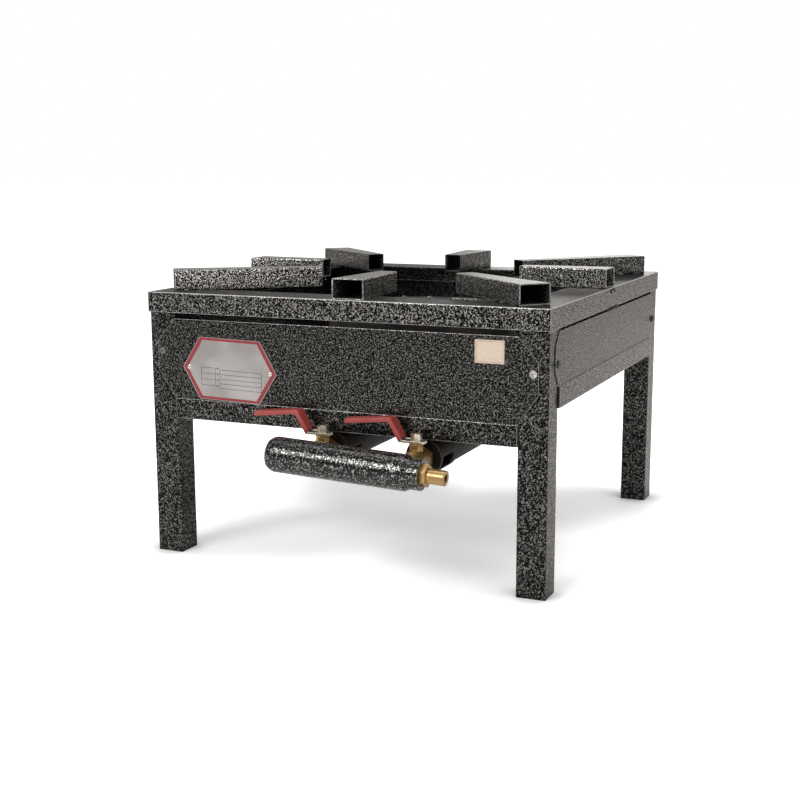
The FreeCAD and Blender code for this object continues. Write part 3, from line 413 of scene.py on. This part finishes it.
def black_paint():
    """Brownish black paint, thin in patches and rubbed pale at the edges, partly a painted rim highlight.
    """
    s = Shader("black_paint")
    patches = s.noise(BLACK_PATCH, detail=4, roughness=0.6)
    grain = s.noise(BLACK_GRAIN, detail=3)
    soft = s.soft_edges(EDGE)
    colour = s.mix(s.spread(patches, *PATCH_SPAN), (0.006, 0.0053, 0.0044), (0.02, 0.0165, 0.0125))
    # Pale edges: partly wear, partly a painted rim highlight.
    rubbed_and_highlight = s.spread(patches, *BLACK_WEAR_AND_HIGHLIGHT_SPAN, *BLACK_WEAR_AND_HIGHLIGHT_SHARES)
    edge_wear_and_highlight = s.combine("MULTIPLY", s.edge_mask(soft), rubbed_and_highlight)
    colour = s.mix(edge_wear_and_highlight, colour, (0.3, 0.27, 0.22))
    s.bump(grain, BLACK_GRAIN_DEPTH, 0.5, soft)
    return s.finish(
        Base_Color=colour,
        Roughness=s.spread(patches, *PATCH_SPAN, 0.35, 0.5),
        Specular_IOR_Level=PAINT_SPECULAR,
        # The warm specular tint stands in for brass seen in the tubes: a painted reflection.
        Specular_Tint=(1.0, 0.85, 0.7),
    )


def burner_iron():
    """Cast iron with a coarse skin and rusty patches."""
    s = Shader("burner_iron")
    patches = s.noise(IRON_PATCH, detail=5, roughness=0.65)
    grain = s.noise(IRON_GRAIN, detail=4, roughness=0.7)
    soft = s.soft_edges(EDGE)
    colour = s.mix(s.spread(patches, *IRON_SPAN), (0.02, 0.0195, 0.019), (0.052, 0.037, 0.029))
    s.bump(grain, IRON_GRAIN_DEPTH, 0.8, soft)
    return s.finish(
        Base_Color=colour,
        Metallic=0.4,
        Roughness=s.spread(grain, *PATCH_SPAN, 0.55, 0.8),
    )


def bare_metal(name, bright, dull, smooth, rough, scratch=SCRATCH, metal=1.0):
    """Metal with fine turned lines, dull and rough in patches."""
    s = Shader(name)
    patches = s.noise(METAL_PATCH, detail=4, roughness=0.6)
    lines = s.noise(METAL_LINE, detail=3, stretch=METAL_LINE_STRETCH)
    soft = s.soft_edges(EDGE * METAL_EDGE_SHARE)
    colour = s.mix(s.spread(patches, *METAL_SPAN), bright, dull)
    s.bump(lines, scratch, 0.5, soft)
    return s.finish(
        Base_Color=colour,
        Metallic=metal,
        Roughness=s.spread(patches, *PATCH_SPAN, smooth, rough),
    )


def screw_steel():
    """Screws painted over with the panels; the front right one is bare and the front left one partly so."""
    s = Shader("screw_steel")
    patches = s.noise(SCREW_PATCH, detail=4, roughness=0.6)
    front = s.spread(s.dot(s.place, tuple(FRONT)), SCREW_FRONT_LOW, SCREW_FRONT_HIGH)
    across = s.dot(s.place, (1, 0, 0))
    bare = s.combine("MULTIPLY", front, s.spread(across, -SCREW_REACH, SCREW_REACH, *SCREW_BARE_SHARES))
    soft = s.soft_edges(EDGE)
    # Pale edges on the painted screws: partly wear, partly painted highlight.
    edge_wear_and_highlight = s.combine("MULTIPLY", s.edge_mask(soft), SCREW_WEAR_AND_HIGHLIGHT_SHARE)
    paint = s.mix(edge_wear_and_highlight, (0.006, 0.006, 0.006), (0.2, 0.195, 0.185))
    steel = s.mix(s.spread(patches, *METAL_SPAN), (0.62, 0.6, 0.56), (0.3, 0.29, 0.27))
    s.bump(patches, SCREW_SCRATCH, 0.5, soft)
    return s.finish(
        Base_Color=s.mix(bare, paint, steel),
        Metallic=s.combine("MULTIPLY", bare, SCREW_METAL_SHARE),
        Roughness=s.spread(patches, *PATCH_SPAN, 0.25, 0.45),
    )


def soft_plastic(name, first, second, smooth, rough):
    """Dipped or moulded plastic with a fine grain, between two near colours."""
    s = Shader(name)
    patches = s.noise(PLASTIC_PATCH, detail=3)
    grain = s.noise(PLASTIC_GRAIN, detail=2)
    colour = s.mix(s.spread(patches, *PATCH_SPAN), first, second)
    s.bump(grain, PLASTIC_GRAIN_DEPTH, 0.5, s.soft_edges(EDGE))
    return s.finish(
        Base_Color=colour,
        Roughness=s.spread(patches, *PATCH_SPAN, smooth, rough),
    )


def plate_sheet():
    """Aluminium sheet brushed across."""
    s = Shader("plate_aluminium")
    patches = s.noise(PLATE_PATCH, detail=2)
    lines = s.noise(PLATE_LINE, detail=3, stretch=PLATE_LINE_STRETCH)
    colour = s.mix(s.spread(patches, *PATCH_SPAN), (0.3, 0.277, 0.266), (0.42, 0.394, 0.382))
    s.bump(lines, PLATE_LINE_DEPTH, 0.4)
    return s.finish(
        Base_Color=colour,
        Metallic=0.75,
        Roughness=s.spread(lines, *PATCH_SPAN, 0.3, 0.42),
    )


def ink(name, first, second, roughness):
    """Print, paper or a painted shade, between two near colours."""
    s = Shader(name)
    patches = s.noise(INK_PATCH, detail=4)
    return s.finish(
        Base_Color=s.mix(s.spread(patches, *PATCH_SPAN), first, second),
        Roughness=roughness,
    )


# One finish for each material slot of the record
FINISHES = {
    "hammered_paint": hammered_paint("hammered_paint", silver=0.108, level_painted_light=0.2),
    "black_paint": black_paint(),
    "burner_iron": burner_iron(),
    "brass": bare_metal(
        "brass",
        bright=(0.43, 0.275, 0.11),
        dull=(0.27, 0.165, 0.062),
        smooth=0.24,
        rough=0.42,
        metal=0.8,
    ),
    "ball_chrome": bare_metal(
        "ball_chrome",
        bright=(0.7, 0.7, 0.7),
        dull=(0.62, 0.62, 0.62),
        smooth=0.06,
        rough=0.12,
        scratch=CHROME_SCRATCH,
    ),
    "seat_plastic": soft_plastic(
        "seat_plastic",
        first=(0.8, 0.8, 0.78),
        second=(0.72, 0.72, 0.7),
        smooth=0.4,
        rough=0.5,
    ),
    "red_vinyl": soft_plastic(
        "red_vinyl",
        first=(0.42, 0.066, 0.056),
        second=(0.36, 0.054, 0.047),
        smooth=0.34,
        rough=0.45,
    ),
    "zinc_steel": bare_metal(
        "zinc_steel",
        bright=(0.72, 0.65, 0.52),
        dull=(0.52, 0.45, 0.33),
        smooth=0.25,
        rough=0.42,
    ),
    "plate_aluminium": plate_sheet(),
}

# Finishes of single parts, prints and welds
# The cap and the bars get brighter copies of the paint: painted light on the upper parts of the stove.
CAP_PAINT_WITH_PAINTED_LIGHT = hammered_paint(
    "hammered_paint_cap_painted_light",
    silver=0.225,
    level_painted_light=0.035,
    flake=CAP_FLAKE,
    span=CAP_FLAKE_SPAN,
    fold_wear_and_highlight=0.9,
)
BAR_PAINT_WITH_PAINTED_LIGHT = hammered_paint(
    "hammered_paint_bars_painted_light",
    silver=0.57,
    level_painted_light=0.4,
    flake=BAR_FLAKE,
    soot_and_shade_share=0.7,
    back_shade=0.6,
    hollow_shade=0.95,
)
PIPE_PAINT = hammered_paint(
    "hammered_paint_pipe",
    silver=0.17,
    level_painted_light=0.15,
    flake=PIPE_FLAKE,
    span=PIPE_FLAKE_SPAN,
    ground_share=0.02,
    wear_and_highlight=0.1,
    coat=0.45,
)
WELD_PAINT = hammered_paint("hammered_paint_welds", silver=0.12, level_painted_light=0.1, wear_and_highlight=0.15)
SCREW_STEEL = screw_steel()
RIVET_STEEL = bare_metal(
    "rivet_steel",
    bright=(0.8, 0.78, 0.75),
    dull=(0.6, 0.58, 0.55),
    smooth=0.2,
    rough=0.35,
    scratch=RIVET_SCRATCH,
)
RED_INK = ink("red_ink", (0.26, 0.02, 0.028), (0.33, 0.03, 0.035), roughness=0.35)
BLACK_INK_AND_SHADE = ink("black_ink_and_shade", (0.03, 0.03, 0.03), (0.06, 0.06, 0.06), roughness=0.4)
PAPER = ink("paper", (0.72, 0.585, 0.46), (0.78, 0.64, 0.51), roughness=0.5)
BROWN_INK = ink("brown_ink", (0.4, 0.2, 0.12), (0.5, 0.27, 0.17), roughness=0.5)

# Parts that differ from their slot's finish, by the start of their names
SPECIAL_FINISHES = {
    "top_rail": CAP_PAINT_WITH_PAINTED_LIGHT,
    "pot_bar": BAR_PAINT_WITH_PAINTED_LIGHT,
    "manifold": PIPE_PAINT,
    "panel_screws": SCREW_STEEL,
    "name_plate_rivets": RIVET_STEEL,
}


def paint_nodes():
    """Gives every part of the frame its finish."""
    for part in frame["record"]["subparts"]:
        mesh = nodes[part["node"]].data
        finish = FINISHES[part["material_slot"]]
        for start, special in SPECIAL_FINISHES.items():
            if part["node"].startswith(start):
                finish = special
        if not mesh.materials:
            mesh.materials.append(finish)
        for index in range(len(mesh.materials)):
            mesh.materials[index] = finish


def new_piece(name, mesh, finish, body="stove"):
    """Turns a bmesh into an object with its finish that rides on a body."""
    bmesh.ops.recalc_face_normals(mesh, faces=mesh.faces)
    data = bpy.data.meshes.new(name)
    mesh.to_mesh(data)
    mesh.free()
    data.materials.append(finish)
    piece = bpy.data.objects.new(name, data)
    bpy.context.scene.collection.objects.link(piece)
    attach(piece, body)


class Facing:
    """A flat face that prints lie on: an origin, and its across, up and outward directions."""

    def __init__(self, origin, tilt=0.0):
        turn = Matrix.Rotation(tilt, 3, "Y")
        self.origin = origin
        self.across = turn @ Vector((1, 0, 0))
        self.up = turn @ UP

    def point(self, x, z, out=0.0):
        return self.origin + self.across * x + self.up * z + FRONT * out


def add_prism(mesh, face, outline, depth):
    """A thin prism on a face, from its outline in the face's own across and up."""
    back = [mesh.verts.new(face.point(x, z)) for x, z in outline]
    front = [mesh.verts.new(face.point(x, z, depth)) for x, z in outline]
    mesh.faces.new(back)
    mesh.faces.new(front)
    for one in range(len(outline)):
        two = (one + 1) % len(outline)
        mesh.faces.new((back[one], back[two], front[two], front[one]))


def box_outline(low_x, low_z, high_x, high_z):
    return [(low_x, low_z), (high_x, low_z), (high_x, high_z), (low_x, high_z)]


def disc(x, z, radius):
    turns = [2 * math.pi * side / BULLET_SIDES for side in range(BULLET_SIDES)]
    return [(x + radius * math.cos(turn), z + radius * math.sin(turn)) for turn in turns]


def add_frame(mesh, face, outer, inner, depth):
    """A closed band between two outlines with the same number of corners."""
    count = len(outer)
    for one in range(count):
        two = (one + 1) % count
        add_prism(mesh, face, [outer[one], outer[two], inner[two], inner[one]], depth)


def hexagon(share):
    """The name plate's outline, shrunk to a share of its size."""
    long = PLATE_LENGTH / 2 * share
    flat = PLATE_FLAT / 2 * share
    tall = PLATE_HEIGHT / 2 * share
    return [(-long, 0), (-flat, -tall), (flat, -tall), (long, 0), (flat, tall), (-flat, tall)]


def print_name_plate():
    """A red border, a blank ruled table with bullets, and dark discs in the rivets' eyes as painted shade.
    """
    low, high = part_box("name_plate")
    middle = (low + high) / 2
    face = Facing(Vector((middle.x, low.y, middle.z)), PLATE_TILT)
    border = bmesh.new()
    add_frame(border, face, hexagon(BORDER_GAP_SHARE), hexagon(BORDER_SHARE), PRINT_DEPTH)
    new_piece("plate_border", border, RED_INK)
    lines = bmesh.new()
    for (left, right), rows in ((LEFT_TABLE, LEFT_ROWS), (RIGHT_TABLE, RIGHT_ROWS)):
        for row in rows:
            outline = box_outline(left, row - RULE / 2, right, row + RULE / 2)
            add_prism(lines, face, outline, PRINT_DEPTH)
        for side in (left, right):
            outline = box_outline(side - RULE / 2, rows[-1], side + RULE / 2, rows[0])
            add_prism(lines, face, outline, PRINT_DEPTH)
    for row in LEFT_ROWS:
        add_prism(lines, face, disc(BULLET_PLACE, row, BULLET), PRINT_DEPTH)
    new_piece("plate_rules", lines, BLACK_INK_AND_SHADE)
    # Dark discs in the rivets' hollow eyes: painted shade.
    eye_shades = bmesh.new()
    face.origin = face.origin + FRONT * RIVET_EYE_LIFT
    for place in RIVET_PLACES:
        add_prism(eye_shades, face, disc(place, 0, RIVET_EYE), PRINT_DEPTH)
    new_piece("rivet_eye_shades", eye_shades, BLACK_INK_AND_SHADE)


def stick_sticker():
    """A blank paper sticker with a thin frame line."""
    panel_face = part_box("panel_front")[0].y
    face = Facing(Vector((0, panel_face, 0)))
    sheet = bmesh.new()
    low = STICKER_LOW
    high = STICKER_HIGH
    add_prism(sheet, face, box_outline(low.x, low.y, high.x, high.y), STICKER_DEPTH)
    new_piece("sticker", sheet, PAPER)
    rule = bmesh.new()
    inset = Vector((STICKER_INSET, STICKER_INSET))
    line = Vector((STICKER_RULE, STICKER_RULE))
    outer = box_outline(*(low + inset), *(high - inset))
    inner = box_outline(*(low + inset + line), *(high - inset - line))
    face.origin = face.origin + FRONT * STICKER_DEPTH
    add_frame(rule, face, outer, inner, PRINT_DEPTH)
    new_piece("sticker_rule", rule, BROWN_INK)


def add_bead(mesh, start, end, radius, dice):
    """A row of weld ripples from start to end, with its lower half sunk in the joint."""
    along = end - start
    length = along.length
    along.normalize()
    side = along.cross(UP if abs(along.z) < UPRIGHT else FRONT).normalized()
    lift = side.cross(along)
    rings = []
    count = max(BEAD_LEAST_STEPS, round(length / BEAD_STEP))
    for step in range(count + 1):
        reach = length * step / count
        ripple = 1 - RIPPLE_SHARE + RIPPLE_SHARE * abs(math.sin(math.pi * reach / BEAD_PITCH))
        taper = min(1, TAPER_SHARE + min(reach, length - reach) / (2 * radius))
        size = radius * ripple * taper * dice.uniform(*BEAD_SIZE_SHARES)
        middle = start + along * reach + side * radius * dice.uniform(*BEAD_DRIFT_SHARES)
        ring = []
        for corner in range(BEAD_SIDES):
            angle = 2 * math.pi * corner / BEAD_SIDES
            out = side * math.cos(angle) + lift * math.sin(angle)
            ring.append(mesh.verts.new(middle + size * out))
        rings.append(ring)
    for one, two in zip(rings, rings[1:]):
        for corner in range(BEAD_SIDES):
            after = (corner + 1) % BEAD_SIDES
            mesh.faces.new((one[corner], one[after], two[after], two[corner]))
    mesh.faces.new(rings[0])
    mesh.faces.new(rings[-1])


def bar_edges(name):
    """A pot bar's two long lower edges, each from its outer end inwards."""
    corners = [v.co.copy() for v in nodes[name].data.vertices]
    middle = sum(corners, Vector()) / len(corners)
    outward = Vector((middle.x, middle.y - FRAME_MIDDLE, 0)).normalized()
    if name in STRAIGHT_BARS:
        outward = Vector(STRAIGHT_BARS[name])
    across = outward.cross(UP)
    floor = min(point.z for point in corners)
    low = [point for point in corners if point.z < floor + BAR_CORNER]
    edges = []
    for sign in (-1, 1):
        outer = max(low, key=lambda point: point.dot(outward) * BAR_END_WEIGHT + sign * point.dot(across))
        inner = max(low, key=lambda point: -point.dot(outward) * BAR_END_WEIGHT + sign * point.dot(across))
        edges.append((Vector((outer.x, outer.y, floor)), Vector((inner.x, inner.y, floor))))
    return edges


def weld_bars():
    """Short beads where the bars' lower edges lie on the top frame, and a few along its front flange."""
    dice = random.Random(SEED)
    mesh = bmesh.new()
    for name in sorted(nodes):
        if not name.startswith("pot_bar"):
            continue
        for outer, inner in bar_edges(name):
            along = (inner - outer).normalized()
            for first, last in BAR_WELDS:
                start = outer + along * (first + dice.uniform(-1, 1) * BEAD)
                end = outer + along * (last + dice.uniform(-1, 1) * BEAD)
                add_bead(mesh, start, end, BEAD * dice.uniform(*BAR_BEAD_SHARES), dice)
    new_piece("bar_welds", mesh, WELD_PAINT)
    beads = bmesh.new()
    for first, last in FLANGE_BEADS:
        start = Vector((first, FLANGE_EDGE, FLANGE_TOP))
        end = Vector((last, FLANGE_EDGE, FLANGE_TOP))
        add_bead(beads, start, end, BEAD * dice.uniform(*FLANGE_BEAD_SHARES), dice)
    new_piece("flange_welds", beads, FINISHES["hammered_paint"])


def weld_frame():
    """Upright beads at the lower rails' ends, dark as painted shade for the gaps there, one bead across the
    right slot, and drips above it.
    """
    dice = random.Random(SEED)
    mesh = bmesh.new()
    for name, (x_way, y_way) in RAIL_SIDES.items():
        low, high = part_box(name)
        middle = (low + high) / 2
        half = (high - low) / 2
        for sign in (-1, 1):
            x = middle.x + (x_way * (half.x - RAIL_SHEET) if x_way else sign * half.x)
            y = middle.y + (y_way * (half.y - RAIL_SHEET) if y_way else sign * half.y)
            add_bead(mesh, Vector((x, y, low.z)), Vector((x, y, high.z)), RAIL_BEAD, dice)
    add_bead(mesh, *SLOT_WELD, RAIL_BEAD, dice)
    # Black paint on these beads stands in for the shadow gaps at the rails' ends: painted shade.
    new_piece("frame_welds_painted_shade", mesh, FINISHES["black_paint"])
    drips = bmesh.new()
    for start, end in DRIPS:
        add_bead(drips, start, end, DRIP, dice)
    new_piece("paint_drips", drips, FINISHES["black_paint"])


def add_floor():
    """A floor that shows white to the camera and keeps the stove's shadow from the lamps, with a painted
    shadow in its glow under the stove and round the feet.
    """
    mesh = bmesh.new()
    bmesh.ops.create_grid(mesh, x_segments=1, y_segments=1, size=FLOOR_HALF)
    data = bpy.data.meshes.new("floor")
    mesh.to_mesh(data)
    mesh.free()
    floor = bpy.data.objects.new("floor", data)
    bpy.context.scene.collection.objects.link(floor)
    s = Shader("floor")
    out = s.vector("SUBTRACT", s.place, (0, FRAME_MIDDLE, 0)).outputs[0]
    spans = s.add("ShaderNodeVectorMath", {0: out}, operation="ABSOLUTE").outputs[0]
    across = s.dot(spans, (1, 0, 0))
    back = s.dot(spans, (0, 1, 0))
    edge = s.combine("MAXIMUM", across, back)
    corner = s.combine("MULTIPLY", s.combine("MINIMUM", across, back), FLOOR_CORNER_SHARE)
    inner = s.combine("SUBTRACT", edge, corner)
    # The glow dims under the stove and towards its feet: a painted shadow.
    glow_with_painted_shadow = s.spread(inner, FLOOR_NEAR, FLOOR_FAR, FLOOR_GLOW_NEAR, FLOOR_GLOW_FAR)
    glow_with_painted_shadow = s.combine("MAXIMUM", glow_with_painted_shadow, s.spread(edge, *FLOOR_EDGE, FLOOR_GLOW_NEAR, FLOOR_GLOW_FAR))
    # Darker still within a few centimetres of each foot: a painted contact shadow.
    open_share = s.add("ShaderNodeAmbientOcclusion", {"Distance": FOOT_PAINTED_SHADOW_REACH}, samples=8).outputs["AO"]
    glow_with_painted_shadow = s.combine("MULTIPLY", glow_with_painted_shadow, s.spread(open_share, *FOOT_PAINTED_SHADOW_SPAN, FOOT_PAINTED_SHADOW_SHARE, 1.0))
    s.finish(
        Base_Color=(FLOOR_COLOUR, FLOOR_COLOUR, FLOOR_COLOUR),
        Roughness=FLOOR_ROUGHNESS,
        Specular_IOR_Level=0.0,
        Emission_Color=(1.0, 1.0, 1.0),
        Emission_Strength=s.combine("MULTIPLY", glow_with_painted_shadow, seen_ray(s.tree)),
    )
    data.materials.append(s.material)


def seen_ray(tree):
    """1 for rays that show the background to the camera or through glass, and a share of it in a gloss."""
    rays = tree.nodes.new("ShaderNodeLightPath").outputs
    gloss = tree.nodes.new("ShaderNodeMath")
    gloss.operation = "MULTIPLY"
    gloss.inputs[1].default_value = GLOSS_SHARE
    tree.links.new(rays["Is Glossy Ray"], gloss.inputs[0])
    seen = rays["Is Camera Ray"]
    for other in (rays["Is Transmission Ray"], gloss.outputs["Value"]):
        both = tree.nodes.new("ShaderNodeMath")
        both.operation = "MAXIMUM"
        tree.links.new(seen, both.inputs[0])
        tree.links.new(other, both.inputs[1])
        seen = both.outputs["Value"]
    return seen


def add_world():
    """White where the camera sees it, and a dim even light otherwise."""
    world = bpy.data.worlds.new("studio")
    bpy.context.scene.world = world
    world.use_nodes = True
    tree = world.node_tree
    level = tree.nodes.new("ShaderNodeMapRange")
    tree.links.new(seen_ray(tree), level.inputs["Value"])
    level.inputs["To Min"].default_value = WORLD_LEVEL
    level.inputs["To Max"].default_value = 1.0
    background = tree.nodes["Background"]
    background.inputs["Color"].default_value = (1, 1, 1, 1)
    tree.links.new(level.outputs["Result"], background.inputs["Strength"])


def add_lamp(name, place, size, power, tint=(1.0, 1.0, 1.0)):
    light = bpy.data.lights.new(name, "AREA")
    light.energy = power
    light.color = tint
    light.shape = "RECTANGLE"
    light.size, light.size_y = size
    lamp = bpy.data.objects.new(name, light)
    lamp.location = place
    lamp.rotation_euler = (LIGHT_TARGET - place).to_track_quat("-Z", "Y").to_euler()
    bpy.context.scene.collection.objects.link(lamp)


def add_camera():
    data = bpy.data.cameras.new("camera")
    data.lens = CAMERA_LENS
    data.sensor_width = CAMERA_SENSOR
    camera = bpy.data.objects.new("camera", data)
    turn = Matrix.Rotation(CAMERA_TURN, 4, "Z")
    dip = Matrix.Rotation(math.pi / 2 - CAMERA_DIP, 4, "X")
    roll = Matrix.Rotation(CAMERA_ROLL, 4, "Z")
    camera.matrix_world = Matrix.Translation(CAMERA_PLACE) @ turn @ dip @ roll
    bpy.context.scene.collection.objects.link(camera)
    bpy.context.scene.camera = camera


paint_nodes()
print_name_plate()
stick_sticker()
weld_bars()
weld_frame()
add_floor()
add_world()
add_lamp("key", KEY_PLACE, KEY_SIZE, KEY_POWER)
add_lamp("side", SIDE_PLACE, SIDE_SIZE, SIDE_POWER, SIDE_TINT)
add_lamp("fill", FILL_PLACE, FILL_SIZE, FILL_POWER)
add_lamp("back", BACK_PLACE, BACK_SIZE, BACK_POWER)
add_camera()
bpy.context.scene.view_settings.view_transform = "Standard"
